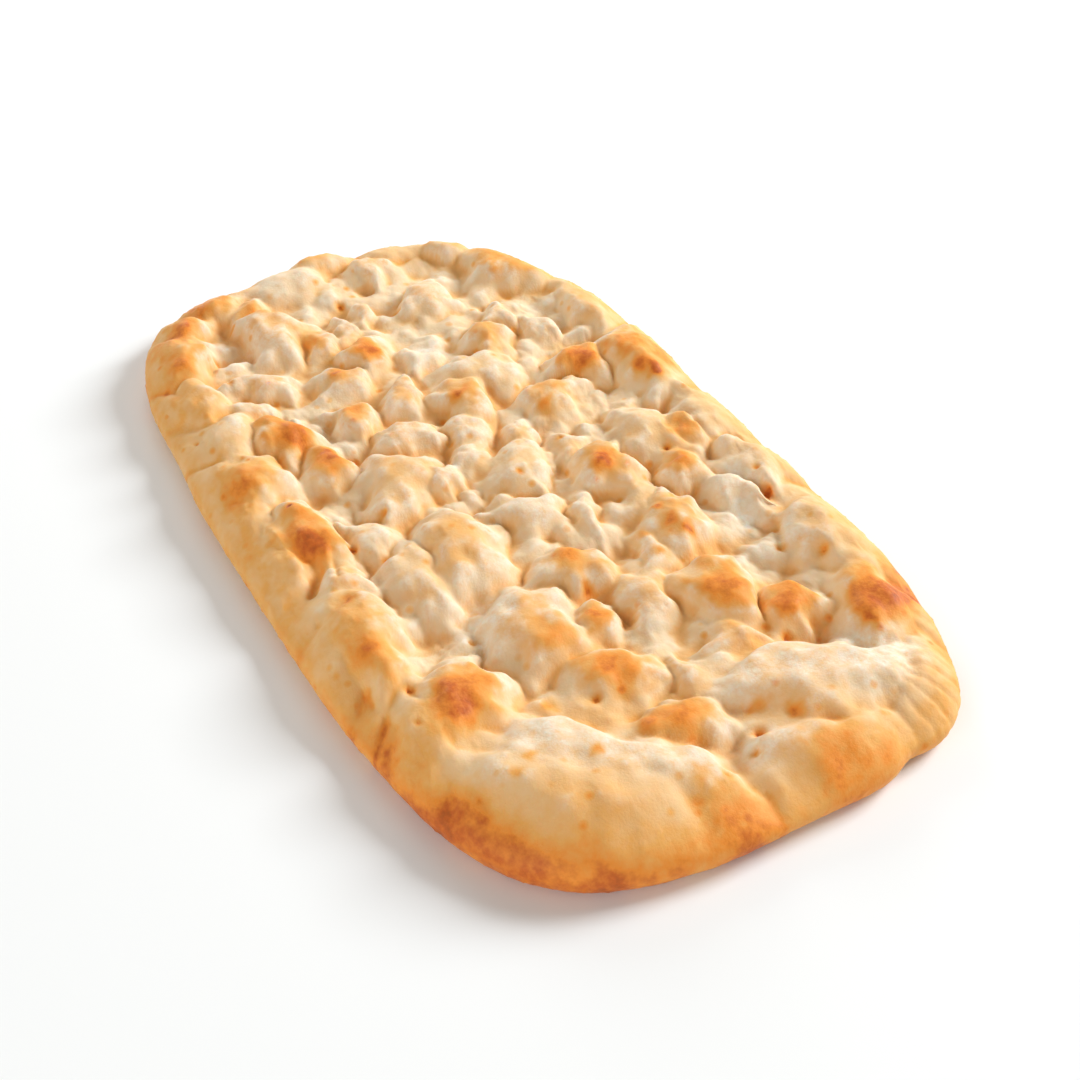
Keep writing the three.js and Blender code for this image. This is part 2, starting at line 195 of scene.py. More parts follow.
# Strongly toasted spots: x, y, radius, added browning
TOAST_SPOTS = (
    (-44, 7, 3, 0.30), (-42, 52, 5, 0.25), (-27, 64, 2.5, 0.35), (-23, 68, 2.5, 0.35),
    (-31, 80, 4, 0.25), (-25, 29, 3, 0.20), (12, 28, 4, 0.24), (21, 49, 4, 0.2),
    (45, 30.5, 2.2, 0.45), (38, 31, 1.5, 0.45), (51, 33, 1.5, 0.35), (9, 56, 5, 0.2),
    (43, -3, 4, 0.20), (43, 22, 2.2, 0.25), (54, 21, 1.8, 0.20), (125, 18, 2.2, 0.30),
    (118, 10, 2.2, 0.25), (97, -16, 2.4, 0.25), (117, -36, 1.8, 0.25), (107, 55, 1.8, 0.30),
    (79, 26, 6, 0.15), (90, 42, 6, 0.20), (104, 63, 9, 0.28), (104, 77, 5, 0.30),
    (94, 79, 5, 0.30), (112, -12, 7, 0.15), (110, -18, 4, 0.20), (143, 21, 9, 0.1),
    (35, -66, 3, 0.25), (58, -71, 6, 0.22), (84, -58, 6, 0.35), (91, -63, 4, 0.20),
    (74, -22, 6, 0.15), (69, -8, 3, 0.20), (89, -15, 4.5, 0.20), (111, -51, 2, 0.25),
    (115, -57, 1.8, 0.25), (116, -71, 7, 0.16), (124, -71, 8, 0.14), (141, -50, 4, 0.08),
    (-44, -48, 4, 0.30), (-39, -56, 3, 0.25), (-30, -42, 5, 0.25), (-52, -25, 3.5, 0.20),
    (-75, -21.5, 3, 0.25), (-82, -6, 4, 0.25), (-121, -32, 4, 0.15), (-134, -49, 6, 0.25),
    (-120, -59, 6, 0.25), (-99, -67, 7, 0.20), (-98, -21, 3, 0.15),
    (-28, -75, 6, 0.25), (7, -66, 5, 0.40), (13, -63, 3, 0.20), (-49, -72, 2, 0.12),
    (126, -45, 12, 0.05), (136, -56, 12, 0.1), (142, -36, 11, 0.1), (146, 18, 9, 0.08),
)

# Dustings of flour left on the dough, those along the crests at the near end also a painted
# highlight: x, y, radius, amount
FLOUR_AND_HIGHLIGHT_PATCHES = (
    (56, -30, 12, 1.0), (63, -18, 8, 0.5), (112, 50, 10, 1.0), (123, 56, 8, 0.5),
    (110, 10, 7, 0.8), (114, 26, 8, 1.0), (122, 42, 8, 1.0), (130, 4, 7, 0.8),
    (135, 15, 6, 0.6), (108, -44, 8, 0.6), (116, -32, 8, 0.8), (125, -22, 8, 0.6),
    (-76, 11, 8, 0.8), (-48, -38, 7, 0.5), (34, 62, 10, 0.8), (-143, -20, 14, 0.5),
    (-104, -38, 8, 0.4), (25, -50, 7, 0.4), (-20, 20, 7, 0.4), (48, 54, 7, 0.8),
    (100, -45, 7, 0.6), (40, -60, 6, 0.5), (14, -34, 6, 0.5), (-24, -34, 6, 0.5),
)

# Browning of the outer edge: direction and spread in degrees, added browning
EDGE_TOAST = (
    (-34, 10, 0.42), (-18, 10, 0.38), (-5, 5, 0.1), (9, 7, 0.12), (-54, 12, 0.1),
    (-75, 9, 0.06), (-152, 12, 0.08), (40, 18, 0.08), (80, 40, 0.06), (160, 25, 0.08),
)

# Crumpled skin: cell, share of the crumple depth and seed of each size of crumple, the pull that
# makes them ragged, the rounding of their creases, and the mean height that is taken off
CRUMPLES = ((10.0, 0.8, 31), (5.0, 0.45, 32), (2.6, 0.2, 33))
CRUMPLE_PULL = (1.5, 9.0, 34, 35)
CRUMPLE_ROUNDING = 0.01
CRUMPLE_MEAN = 0.35

# Broad puffs are calmer: area of a fully calm one, share of its rise over which calm sets in,
# calm of the edge, and the calm over which the skin tightens and loses most of its crumples
CALM_AREA = 300.0
CALM_RISE = (0.0, 0.5)
EDGE_CALM = 0.6
TIGHT = (0.1, 0.8)
TIGHTENED = 0.85

# Blisters: grain of their places, the part of it that stays flat, gain up to full rise
BLISTERS = ((1.0, 2.6, 41),)
BLISTER_FLAT = 0.15
BLISTER_GAIN = 2.0

# Wrinkles: count in a full turn, point they fan out from, waver, place and radius of the corner
WRINKLES = 40
WRINKLE_MIDDLE = (112.0, 38.0)
WRINKLE_WAVER = ((0.8, 7.0, 51),)
WRINKLE_CORNER = (137.0, 56.0, 15.0)

# Height above the floor over which fine relief, flour and painted highlight set in, and distance
# in from the outline over which the top turns into the outer wall
SKIN_START = (0.2, 2.5)
WALL = (20.0, 6.0)

# Browning: of pale dough, added by rise and by toasting, of spots, edge and underside, with darker
# pits and painted shade darkening the creases
PALE = 0.15
RISE_BROWNING = 0.06
HIGH_RISE = 11.0
TOAST_BROWNING = 0.47
SPOT_BROWNING = 1.3
PIT_DARKENING = 0.42
EDGE_BROWNING = 0.25
CREASE_PAINTED_SHADE = 0.2
UNDERSIDE_BROWNING = 0.5

# Where strong browning is held back, and how much further it may still go
FULL_TOAST = 0.64
CHAR_ROOM = 0.2

# Share of a mound's rise over which its top goes toasted, and height over which the outer wall
# browns on its way down
TOAST_EDGE = (0.52, 1.1)
WALL_BAKED = (17.0, 5.0)

# Uneven browning: amount, cell and seed of each grain in it, and the pull that frays the spots
TOAST_RAGGED = ((0.2, 6.0, 21), (0.1, 2.4, 22))
WALL_PATCHES = ((0.4, 12.0, 63), (0.15, 4.0, 64))
SKIN_PATCHES = ((0.035, 12.0, 65), (0.03, 4.5, 66))
SPOT_PULL = (1.3, 4.0, 61, 62)

# Creases and ridges: rounds of averaging over neighbours, sunken height over which creases take
# painted shade, raised height over which ridges take flour and painted highlight
AVERAGE_ROUNDS = 24
SHADED_CREASE = (0.5, 1.7)
RIDGE = (0.1, 0.9)

# Flour and painted highlight: amount laid on ridges, browning at which none is left and at which
# all of it is, clumps
RIDGE_FLOUR_AND_HIGHLIGHT = 0.75
FLOUR_GONE = (0.5, 0.28)
FLOUR_CLUMPS = ((0.7, 4.0, 71),)

# Patterns of the crust: size of one lump, depth of a pore, depth that light runs to. Flour and
# pores are a tenth of a millimetre or two, too fine to show in the render, so both are drawn
# several times coarser.
MOTTLE = 9.0
SPECKLE = 2.2
POWDER = 2.4
FRECKLE_CELL = 5.5
PORE = 0.8
PORE_DEPTH = 0.35
LIGHT_DEPTH = 1.5

# Skin: rings of points, the top with six more in each ring than in the one inside it, and the
# distance that stands for none at the middle, so that nothing is divided by zero
SECTORS = 6
EDGE_RINGS = 8
UNDERSIDE_RINGS = 3
SMALLEST_REACH = 0.001

# Free space round the unrolled skin and the underside in the texture layout
UV_MARGIN = 0.01

# Stage in metres: half the floor's side, and for each lamp how far it stands to the right of the
# bread, towards the camera and up, and its width
FLOOR_HALF = 6.0
LAMPS = {
    "key": (1.22, -0.62, 0.85, 0.65),
    "back": (-0.3, -0.75, 0.4, 0.5),
    "front": (-0.45, 0.8, 0.3, 0.6),
}

# Camera of the view: turn and tilt in degrees, distance, lens, aim, sensor, nearest depth seen
VIEW_TURN = 61.31
VIEW_TILT = 38.49
VIEW_DISTANCE = 500.6
VIEW_LENS = 55.56
VIEW_AIM = (16.4, 4.0, -3.0)
SENSOR = 36.0
CLIP_START = 10.0


def linear(hex_colour):
    """Turns an sRGB hex colour into linear red, green and blue."""
    channels = [int(hex_colour[i:i + 2], 16) / 255 for i in (1, 3, 5)]
    return [c / 12.92 if c <= 0.04045 else ((c + 0.055) / 1.055) ** 2.4 for c in channels]


def length(name, description, millimetres):
    """A length that the sidebar shows in scene units."""
    return FloatProperty(
        name=name, description=description, default=millimetres * MM,
        precision=5, unit="LENGTH", subtype="DISTANCE",
    )


def colour(name, description, hex_colour):
    """A colour that the sidebar shows as a swatch."""
    return FloatVectorProperty(
        name=name, description=description, default=linear(hex_colour),
        size=3, min=0.0, max=1.0, subtype="COLOR",
    )


class PinsaSizes(bpy.types.PropertyGroup):
    """Sizes that the shape of the crust is worked out from"""

    dimple_floor: length("Dimple floor", "Dough left under a deep dimple", 7.0)
    rim_lift: length("Rim lift", "Extra height of the crust along the edge", 3.0)
    rim_inset: length("Rim inset", "From the outline to the crest of the rim", 14.0)
    rim_spread: length("Rim spread", "Half width of the rim's crest", 12.0)
    rim_grip: length("Rim grip", "Outermost dough, which follows the crest inside it", 8.0)
    edge_rounding: length("Edge rounding", "How far in from the outline the top rounds over", 24.0)
    widest_height: length("Widest height", "Height of the widest line of the edge", 6.0)
    underside_inset: length("Underside inset", "From the widest line in to the underside", 5.0)
    crease_softness: length("Crease softness", "Height over which two mounds run together", 1.5)
    crumple_depth: length("Crumple depth", "Height of the crumpled skin between the puffs", 1.15)
    blister_rise: length("Blister rise", "Height of the small blisters on puffed dough", 0.3)
    wrinkle_depth: length("Wrinkle depth", "Depth of the wrinkles round the near corner", 0.5)
    skin_rings: IntProperty(
        name="Skin rings", description="Rings of points from the middle to the edge", default=168,
        min=20, max=168,
    )


class PinsaColours(bpy.types.PropertyGroup):
    """Colours of the crust, from pale dough to scorched spots"""

    dough: colour("Dough", "Pale skin in the dimples", "#e7d9bf")
    straw: colour("Straw", "Lightly baked skin on the slopes", "#eac08b")
    golden: colour("Golden", "Golden skin on the mounds", "#e8aa5d")
    toasted: colour("Toasted", "Toasted tops and edges", "#ea9239")
    dark: colour("Dark", "Darkest toasted cores", "#c86728")
    scorched: colour("Scorched", "Scorched pits", "#7a4022")
    # Flour white, also laid on ridges and crests as a painted highlight
    flour_and_highlight: colour("Flour", "Flour left on the skin", "#ece7da")


class PinsaStage(bpy.types.PropertyGroup):
    """Floor, light and camera"""

    floor: colour("Floor", "Plain pale floor", "#f1f1f1")
    key_colour: colour("Key colour", "Near white of the large lamp", "#f5fbff")
    surround_colour: colour("Surround colour", "Warm white of the even light", "#fff4e4")
    surround: FloatProperty(
        name="Surround", description="Strength of the even light from all round", default=0.33,
        min=0.0,
    )
    key_power: FloatProperty(
        name="Key", description="Power of the large lamp at the right", default=33.0, min=0.0,
        unit="POWER",
    )
    back_power: FloatProperty(
        name="Back", description="Power of the lamp behind the bread", default=3.2, min=0.0,
        unit="POWER",
    )
    front_power: FloatProperty(
        name="Front", description="Power of the low lamp in front of the bread", default=4.2,
        min=0.0, unit="POWER",
    )


def outline_radius(angle):
    """Distance from the middle to the outline in each direction."""
    along_x = np.abs(2 * np.cos(angle) / LENGTH)
    along_y = np.abs(2 * np.sin(angle) / WIDTH)
    radius = (along_x ** CORNER_POWER + along_y ** CORNER_POWER) ** (-1 / CORNER_POWER)
    for direction, spread, push in OUTLINE_BULGES:
        apart = (np.degrees(angle) - direction + 180) % 360 - 180
        radius = radius + push * np.exp(-((apart / spread) ** 2))
    return radius


def walk_outline(shares):
    """Points at shares of the outline's length, and how far their tangents pass the middle."""
    angle = np.linspace(0, 2 * np.pi, OUTLINE_SAMPLES + 1)
    radius = outline_radius(angle)
    x = radius * np.cos(angle)
    y = radius * np.sin(angle)
    step_x = np.gradient(x, angle)
    step_y = np.gradient(y, angle)
    depth = (x * step_y - y * step_x) / np.hypot(step_x, step_y)
    walked = np.concatenate([[0], np.cumsum(np.hypot(np.diff(x), np.diff(y)))])
    at = shares * walked[-1]
    return [np.interp(at, walked, values) for values in (x, y, depth)]


def swell(x, y, wave, seed):
    """A smooth uneven field of a wavelength and depth, from plane waves in five directions."""
    wavelength, depth = wave
    height = 0.0
    for j in range(SWELL_WAVES):
        heading = seed * SEED_HEADING + j * GOLDEN_ANGLE
        frequency = 2 * np.pi / wavelength * (SLOWEST_WAVE + WAVE_STEP * j)
        along = x * np.cos(heading) + y * np.sin(heading)
        height = height + np.sin(along * frequency + seed * SEED_PHASE + j * WAVE_PHASE)
    return depth * height / math.sqrt(SWELL_WAVES)


def grain(x, y, cell, seed):
    """Seeded gradient noise of about unit height, with one lump in each cell."""
    turns = np.random.default_rng(seed).uniform(0, 2 * np.pi, (GRAIN_SIDE, GRAIN_SIDE))
    u = x / cell
    v = y / cell
    column = np.floor(u).astype(int)
    row = np.floor(v).astype(int)
    u = u - column
    v = v - row

    def corner(dx, dy):
        turn = turns[(column + dx) % GRAIN_SIDE, (row + dy) % GRAIN_SIDE]
        return np.cos(turn) * (u - dx) + np.sin(turn) * (v - dy)

    fade_u = u ** 3 * (u * (6 * u - 15) + 10)
    fade_v = v ** 3 * (v * (6 * v - 15) + 10)
    low = corner(0, 0) + fade_u * (corner(1, 0) - corner(0, 0))
    high = corner(0, 1) + fade_u * (corner(1, 1) - corner(0, 1))
    return GRAIN_HEIGHT * (low + fade_v * (high - low))


def mixed_grain(x, y, grains):
    """Sum of several grains, each given by its height, cell and seed."""
    return sum(height * grain(x, y, cell, seed) for height, cell, seed in grains)


def pull(x, y, amount, cell, seed_x, seed_y):
    """Moves points sideways by a grain, so that what is drawn there gets a ragged edge."""
    return x + amount * grain(x, y, cell, seed_x), y + amount * grain(x, y, cell, seed_y)


def smooth_step(low, high, value):
    """Rises smoothly from 0 at low to 1 at high."""
    share = np.clip((value - low) / (high - low), 0, 1)
    return share * share * (3 - 2 * share)


def smooth_max(a, b, softness):
    """The larger of two heights, run together where they are nearly equal."""
    overlap = np.maximum(softness - np.abs(a - b), 0)
    return np.maximum(a, b) + overlap ** 2 / (4 * softness)


def mound_height(x, y, mound, index):
    """Height of one mound, negative beyond its foot."""
    centre_x, centre_y, half_length, half_width, turn, rise = mound[:6]
    angle = math.radians(turn)
    dx = x - centre_x
    dy = y - centre_y
    along = (dx * math.cos(angle) + dy * math.sin(angle)) / half_length
    across = (dy * math.cos(angle) - dx * math.sin(angle)) / half_width
    bearing = np.arctan2(across, along)
    area = half_length * half_width
    lobes = 1.0
    for count, departure, step in LOBES:
        lobes = lobes + departure * np.sin(count * bearing + step * index)
    for count, departure, step in FLUTES:
        lobes = lobes + departure * np.sin(count * bearing + step * index) / (1 + area / CALM_AREA)
    distance = np.hypot(along, across) * lobes
    return rise * (1 - (distance / MOUND_REACH) ** MOUND_POWER)


def lump_height(x, y, index):
    """Height of one of the low lumps in the valleys."""
    reach = math.sqrt((index + 0.5) / LUMP_COUNT)
    dx = x - LUMP_FIELD[0] * reach * math.cos(index * GOLDEN_ANGLE)
    dy = y - LUMP_FIELD[1] * reach * math.sin(index * GOLDEN_ANGLE)
    radius = np.interp(index * RADIUS_STRIDE % 1, (0, 1), LUMP_RADIUS)
    rise = np.interp(index * RISE_STRIDE % 1, (0, 1), LUMP_RISE)
    return rise * (1 - (dx * dx + dy * dy) / radius ** 2)


def fold_depth(x, y, folds):
    """How far the folds draw the surface down."""
    depth = 0.0
    for start_x, start_y, end_x, end_y, half_width, deepest in folds:
        along_x = end_x - start_x
        along_y = end_y - start_y
        walked = (x - start_x) * along_x + (y - start_y) * along_y
        share = np.clip(walked / (along_x ** 2 + along_y ** 2), 0, 1)
        away = np.hypot(x - start_x - share * along_x, y - start_y - share * along_y)
        depth = depth + deepest * np.exp(-((away / half_width) ** 2))
    return depth


def bend(x, y):
    """Moves points a little sideways, so that no mound is a clean oval."""
    bent_x = x + swell(x, y, BEND_LONG, 1) + swell(x, y, BEND_SHORT, 2)
    bent_y = y + swell(x, y, BEND_LONG, 4) + swell(x, y, BEND_SHORT, 5)
    return bent_x + swell(x, y, BEND_FINE, 11), bent_y + swell(x, y, BEND_FINE, 12)


def press_dough(x, y, softness):
    """Height above the dimple floor, and how far up a broad puff each point lies."""
    bent_x, bent_y = bend(x, y)
    height = VALLEY_LEVEL + swell(x, y, VALLEY_SWELL, 7)
    for i in range(LUMP_COUNT):
        height = smooth_max(height, lump_height(bent_x, bent_y, i), softness)
    calm = np.zeros_like(x)
    for i, mound in enumerate(MOUNDS):
        dome = mound_height(bent_x, bent_y, mound, i)
        height = smooth_max(height, dome, softness)
        broad = min(mound[2] * mound[3] / CALM_AREA, 1)
        calm = np.maximum(calm, broad * smooth_step(*CALM_RISE, dome / mound[5]))
    height = height - fold_depth(bent_x, bent_y, FOLDS) + swell(x, y, SKIN_SWELL, 8)
    return height, calm


def toast_of(x, y, ragged):
    """How far the tops of the mounds are toasted, with a ragged edge."""
    bent_x, bent_y = bend(x, y)
    toast = np.zeros_like(x)
    for i, mound in enumerate(MOUNDS):
        up = np.clip(mound_height(bent_x, bent_y, mound, i) / mound[5], 0, 1)
        toast = np.maximum(toast, mound[6] * smooth_step(*TOAST_EDGE, up + ragged * up))
    return toast


def lay_rings(rings):
    """Share of the way out and share of the way round for each point of the top."""
    counts = [max(SECTORS * k, 1) for k in range(rings + 1)]
    out = np.concatenate([np.full(count, k / rings) for k, count in enumerate(counts)])
    around = np.concatenate([np.arange(count) / count for count in counts])
    return out, around


def top_triangles(rings):
    """Triangles of the top, from each ring to the next one inside it."""
    triangles = []
    inner_start = 0
    outer_start = 1
    for ring in range(1, rings + 1):
        count = SECTORS * ring
        inner_count = max(SECTORS * (ring - 1), 1)
        step = np.arange(count)
        sector, place = np.divmod(step, ring)
        outer = outer_start + step
        outer_next = outer_start + (step + 1) % count
        inner = inner_start + (sector * (ring - 1) + place) % inner_count
        inner_next = inner_start + (sector * (ring - 1) + place + 1) % inner_count
        triangles.append(np.stack([outer, outer_next, inner], 1))
        triangles.append(np.stack([outer_next, inner_next, inner], 1)[place < ring - 1])
        inner_start = outer_start
        outer_start += count
    return np.concatenate(triangles)


def band_triangles(first, count, bands):
    """Triangles of bands of equal rings, each below or inside the one before."""
    step = np.arange(count)
    following = (step + 1) % count
    triangles = []
    for band in range(bands):
        upper = first + band * count
        lower = upper + count
        triangles.append(np.stack([upper + step, lower + step, upper + following], 1))
        triangles.append(np.stack([upper + following, lower + step, lower + following], 1))
    return np.concatenate(triangles)


def skin_triangles(rings, widest_ring):
    """Triangles of the closed skin, and how many of them lie above the underside."""
    count = SECTORS * rings
    lowest_ring = widest_ring + EDGE_RINGS * count
    last = lowest_ring + UNDERSIDE_RINGS * count
    step = np.arange(count)
    fan = np.stack([last + step, np.full(count, last + count), last + (step + 1) % count], 1)
    shell = np.concatenate([top_triangles(rings), band_triangles(widest_ring, count, EDGE_RINGS)])
    underside = np.concatenate([band_triangles(lowest_ring, count, UNDERSIDE_RINGS), fan])
    return np.concatenate([shell, underside]), len(shell)


def point_normals(points, triangles):
    """Unit normals at the points of a closed skin."""
    corners = points[triangles]
    faces = np.cross(corners[:, 1] - corners[:, 0], corners[:, 2] - corners[:, 0])
    normals = np.zeros_like(points)
    for axis in range(3):
        for corner in range(3):
            normals[:, axis] += np.bincount(
                triangles[:, corner], faces[:, axis], minlength=len(points)
            )
    return normals / np.linalg.norm(normals, axis=1, keepdims=True)


def sunken_by(height, triangles):
    """How far each point lies below the average height round it, negative on a ridge."""
    start = triangles.ravel()
    end = np.roll(triangles, -1, axis=1).ravel()
    neighbours = np.bincount(start, minlength=len(height))
    average = height
    for _ in range(AVERAGE_ROUNDS):
        average = np.bincount(start, average[end], minlength=len(height)) / neighbours
    return average - height


def near(x, y, spot_x, spot_y, radius):
    """1 at a spot, falling away smoothly to nothing at about twice its radius."""
    return np.exp(-((x - spot_x) ** 2 + (y - spot_y) ** 2) / radius ** 2)


def fine_relief(x, y, calm, size):
    """Height of the crumpled, pitted, blistered and wrinkled skin over the pressed dough."""
    pulled_x, pulled_y = pull(x, y, *CRUMPLE_PULL)
    crumple = 0.0
    for cell, share, seed in CRUMPLES:
        lump = np.sqrt(grain(pulled_x, pulled_y, cell, seed) ** 2 + CRUMPLE_ROUNDING)
        crumple = crumple + share * (lump - CRUMPLE_MEAN)
    loose = 1 - TIGHTENED * smooth_step(*TIGHT, calm)
    height = size["crumple_depth"] * crumple * loose
    blister = np.maximum(mixed_grain(x, y, BLISTERS) - BLISTER_FLAT, 0) ** 2
    height = height + BLISTER_GAIN * size["blister_rise"] * blister
    height = height - fold_depth(x, y, FINE_FOLDS)
    for pit_x, pit_y, radius, depth in PITS:
        height = height - depth * near(x, y, pit_x, pit_y, radius)
    middle_x, middle_y = WRINKLE_MIDDLE
    bearing = np.arctan2(y - middle_y, x - middle_x)
    wrinkle = np.maximum(np.cos(WRINKLES * bearing + mixed_grain(x, y, WRINKLE_WAVER)), 0)
    corner = near(x, y, *WRINKLE_CORNER)
    return height - size["wrinkle_depth"] * wrinkle ** 2 * corner


def browning_of(x, y, z, relief, toast, wall):
    """How far the skin is baked: 0 is pale dough and 1 is scorched."""
    ragged_x, ragged_y = pull(x, y, *SPOT_PULL)
    browning_and_shade = PALE + RISE_BROWNING * np.clip(relief / HIGH_RISE, 0, 1) + TOAST_BROWNING * toast
    for spot_x, spot_y, radius, amount in TOAST_SPOTS:
        spot = near(ragged_x, ragged_y, spot_x, spot_y, radius)
        browning_and_shade = browning_and_shade + SPOT_BROWNING * amount * spot
    direction = np.degrees(np.arctan2(y, x))
    edge = EDGE_BROWNING
    for heading, spread, amount in EDGE_TOAST:
        apart = (direction - heading + 180) % 360 - 180
        edge = edge + amount * np.exp(-((apart / spread) ** 2))
    patchy = 1 + mixed_grain(x, y, WALL_PATCHES)
    browning_and_shade = browning_and_shade + edge * patchy * wall * smooth_step(*WALL_BAKED, z)
    browning_and_shade = browning_and_shade + mixed_grain(x, y, SKIN_PATCHES)
    over = np.maximum(browning_and_shade - FULL_TOAST, 0)
    browning_and_shade = np.minimum(browning_and_shade, FULL_TOAST) + CHAR_ROOM * (1 - np.exp(-over / CHAR_ROOM))
    # Darker inside the pits
    for pit_x, pit_y, radius, _ in PITS:
        browning_and_shade = browning_and_shade + PIT_DARKENING * near(x, y, pit_x, pit_y, radius)
    return browning_and_shade


def flour_and_highlight_of(x, y):
    """How much flour lies on the skin, with the patches along the near-end crests also a painted
    highlight.
    """
    flour_and_highlight = 0.0
    for patch_x, patch_y, radius, amount in FLOUR_AND_HIGHLIGHT_PATCHES:
        flour_and_highlight = flour_and_highlight + amount * near(x, y, patch_x, patch_y, radius)
    return np.clip(flour_and_highlight * (1 + mixed_grain(x, y, FLOUR_CLUMPS)), 0, 1)


def bake_skin(size):
    """Points and triangles of the bread, and the browning, flour and flat place of each point."""
    rings = size["skin_rings"]
    share, around = lay_rings(rings)
    edge_x, edge_y, depth = walk_outline(around)
    x = share * edge_x
    y = share * edge_y
    inset = (1 - share) * depth
    gripped = np.minimum(share, 1 - size["rim_grip"] / depth)
    relief, calm = press_dough(gripped * edge_x, gripped * edge_y, size["crease_softness"])
    rim = np.exp(-(((inset - size["rim_inset"]) / size["rim_spread"]) ** 2))
    full = size["dimple_floor"] + size["rim_lift"] * rim + relief
    inward = np.minimum(inset / size["edge_rounding"], 1)
    widest = size["widest_height"]
    z = widest + (full - widest) * np.sqrt(1 - (1 - inward) ** 2)

    # Lower edge and underside: rings that start from the widest line, and the middle point
    count = SECTORS * rings
    rim_x, rim_y, rim_full = x[-count:], y[-count:], full[-count:]
    reach = np.hypot(rim_x, rim_y)
    parts = [(x, y, z, full - z)]
    for k in range(1, EDGE_RINGS + 1):
        angle = math.pi / 2 * k / EDGE_RINGS
        scale = 1 - size["underside_inset"] * (1 - math.cos(angle)) / reach
        low = np.full(count, widest * (1 - math.sin(angle)))
        parts.append((rim_x * scale, rim_y * scale, low, rim_full - low + (1 - scale) * reach))
    level = np.zeros(count)
    for k in range(1, UNDERSIDE_RINGS + 1):
        scale = (1 - size["underside_inset"] / reach) * (1 - k / (UNDERSIDE_RINGS + 1))
        parts.append((rim_x * scale, rim_y * scale, level, level))
    parts.append(np.zeros((4, 1)))
    x, y, z, drop = (np.concatenate(values) for values in zip(*parts))
    points = np.stack([x, y, z], 1)
    widest_ring = len(share) - count
    triangles, shell_count = skin_triangles(rings, widest_ring)

    # Flat place: the walls laid out round the top, so that no pattern is drawn out on them
    away = np.maximum(np.hypot(x, y), SMALLEST_REACH)
    flat_x = x * (1 + drop / away)
    flat_y = y * (1 + drop / away)
    tail = len(x) - len(share)

    def onto_skin(values, rest):
        return np.concatenate([values, np.full(tail, rest)])

    # Fine relief, along the normals of the plain skin
    calm = onto_skin(calm, EDGE_CALM)
    skin = smooth_step(*SKIN_START, z)
    fine = fine_relief(flat_x, flat_y, calm, size) * skin
    middle = (points.min(0) + points.max(0)) / 2
    points = points + point_normals(points, triangles) * fine[:, None]
    points[:, 2] = np.maximum(points[:, 2], 0)
    points[:, :2] -= middle[:2]

    # Browning and flour, with painted shade in the creases and painted highlight on the ridges
    wall = onto_skin(smooth_step(*WALL, inset), 1.0)
    toast = toast_of(x, y, mixed_grain(flat_x, flat_y, TOAST_RAGGED))
    rim_relief = np.tile(relief[-count:], EDGE_RINGS + UNDERSIDE_RINGS)
    relief = np.concatenate([relief, rim_relief, relief[-1:]])
    sunken = sunken_by(relief + fine, triangles)
    browning_and_shade = browning_of(flat_x, flat_y, z, relief, toast, wall)
    # Painted highlight, partly real flour: ridges standing above their surroundings get the flour
    # white
    ridge_flour_and_highlight = RIDGE_FLOUR_AND_HIGHLIGHT * smooth_step(*RIDGE, -sunken) * (1 - wall)
    unbaked = smooth_step(*FLOUR_GONE, browning_and_shade)
    flour_and_highlight = np.maximum(flour_and_highlight_of(flat_x, flat_y), ridge_flour_and_highlight) * unbaked * skin
    # Painted shade: sunken creases are darkened towards a warm brown, counted in with the browning
    browning_and_shade = browning_and_shade + CREASE_PAINTED_SHADE * smooth_step(*SHADED_CREASE, sunken)
    browning_and_shade[widest_ring + EDGE_RINGS * count:] = UNDERSIDE_BROWNING
    flat = np.stack([flat_x, flat_y], 1)
    return points, triangles, shell_count, flat, browning_and_shade, flour_and_highlight


def bake_layout(flat, points, triangles, shell_count):
    """UV places for textures: the unrolled skin above, the underside below it."""
    half = np.abs(flat).max(0)
    top_scale = (0.5 - UV_MARGIN) / half[0]
    top_height = 2 * half[1] * top_scale
    room = 1 - 3 * UV_MARGIN - top_height
    low_scale = room / (points[:, 1].max() - points[:, 1].min())
    top = flat * top_scale + np.array([0.5, 1 - UV_MARGIN - top_height / 2])
    low = points[:, :2] * low_scale + np.array([0.5, UV_MARGIN + room / 2])
    places = [top[triangles[:shell_count]], low[triangles[shell_count:]]]
    return np.concatenate(places).reshape(-1, 2)


def add_node(tree, kind, settings=(), values=(), links=(), stops=()):
    """Adds a shader node with its settings, socket values, incoming links and ramp stops."""
    node = tree.nodes.new("ShaderNode" + kind)
    for name, value in dict(settings).items():
        setattr(node, name, value)
    for socket, value in dict(values).items():
        node.inputs[socket].default_value = value
    for socket, source in dict(links).items():
        tree.links.new(source, node.inputs[socket])
    if stops:
        elements = node.color_ramp.elements
        while len(elements) < len(stops):
            elements.new(0.5)
        for element, (position, shade) in zip(elements, stops):
            element.position = position
            element.color = (*shade, 1.0)
    return node


def per_metre(millimetres):
    """Texture scale that gives one lump for each given length."""
    return 1 / (millimetres * MM)


